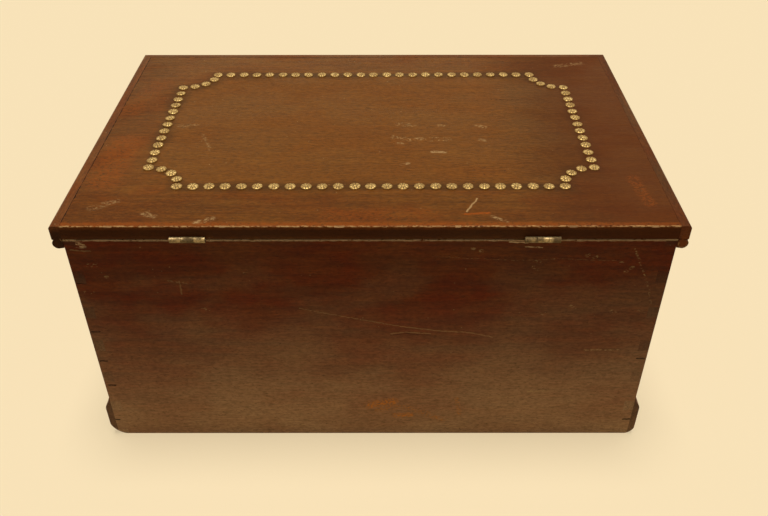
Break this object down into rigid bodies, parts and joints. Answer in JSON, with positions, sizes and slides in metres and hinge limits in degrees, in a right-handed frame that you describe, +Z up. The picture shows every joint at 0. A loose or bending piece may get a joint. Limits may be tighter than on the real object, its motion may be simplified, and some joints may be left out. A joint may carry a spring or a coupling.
{
  "type": "document box",
  "caption": "Wooden document box: dovetailed case on a base moulding, hinged lid with a moulded edge and a ring of brass nails with scooped corners, butt hinges and a box lock.",
  "frame": {"origin": "centre of the whole box's bounds in plan, on the surface that it stands on", "axes": "+Z up; +Y towards the front, where the lock is; -Y towards the back, where the hinges are; +X to the right when the back is looked at"},
  "size_m": [0.6452, 0.4238, 0.3122],
  "materials": {
    "case_wood": "old french polish over dark reddish brown mahogany, worn",
    "bottom_wood": "bare planed softwood, aged",
    "base_wood": "old french polish, scuffed at the corners",
    "lid_wood": "old french polish over mahogany, faded and scratched",
    "moulding_wood": "old french polish, worn along the arrises",
    "stud_brass": "stamped brass, tarnished in the hollows",
    "hinge_brass": "dull tarnished brass",
    "pin_steel": "drawn steel",
    "screw_iron": "old iron, brown",
    "brad_iron": "rusted iron, punched in",
    "lock_brass": "old brass",
    "lock_steel": "blued steel, worn"
  },
  "bodies": {
    "case": {"back_board": "case_wood", "front_board": "case_wood", "left_end_board": "case_wood", "right_end_board": "case_wood", "bottom_board": "bottom_wood", "base_moulding_front": "base_wood", "base_moulding_left": "base_wood", "base_moulding_right": "base_wood", "base_moulding_brads": "brad_iron", "hinge_left_case_leaf": "hinge_brass", "hinge_left_pin": "pin_steel", "hinge_left_case_screws": "screw_iron", "hinge_right_case_leaf": "hinge_brass", "hinge_right_pin": "pin_steel", "hinge_right_case_screws": "screw_iron", "lock_plate": "lock_brass", "lock_box": "lock_brass", "lock_spring": "lock_steel", "key_pin": "lock_steel", "lock_screws": "screw_iron", "escutcheon": "lock_brass"},
    "lid": {"lid_board": "lid_wood", "lid_moulding_front": "moulding_wood", "lid_moulding_left": "moulding_wood", "lid_moulding_right": "moulding_wood", "lid_moulding_brads": "brad_iron", "hinge_left_lid_leaf": "hinge_brass", "hinge_left_lid_screws": "screw_iron", "hinge_right_lid_leaf": "hinge_brass", "hinge_right_lid_screws": "screw_iron", "rear_row_studs": "stud_brass", "front_row_studs": "stud_brass", "left_column_studs": "stud_brass", "right_column_studs": "stud_brass", "corner_studs": "stud_brass", "link_plate": "lock_brass", "link_plate_screws": "screw_iron"},
    "lock_bolt": {"lock_bolt": "lock_brass"}
  },
  "joints": [
    {"name": "lid_hinge", "type": "hinge", "parent": "case", "child": "lid", "pos_m": [0, -0.2087, 0.29425], "axis": [1, 0, 0], "range_deg": [0, 185]},
    {"name": "bolt_slide", "type": "slide", "parent": "case", "child": "lock_bolt", "axis": [1, 0, 0], "range_m": [0, 0.006]}
  ]
}
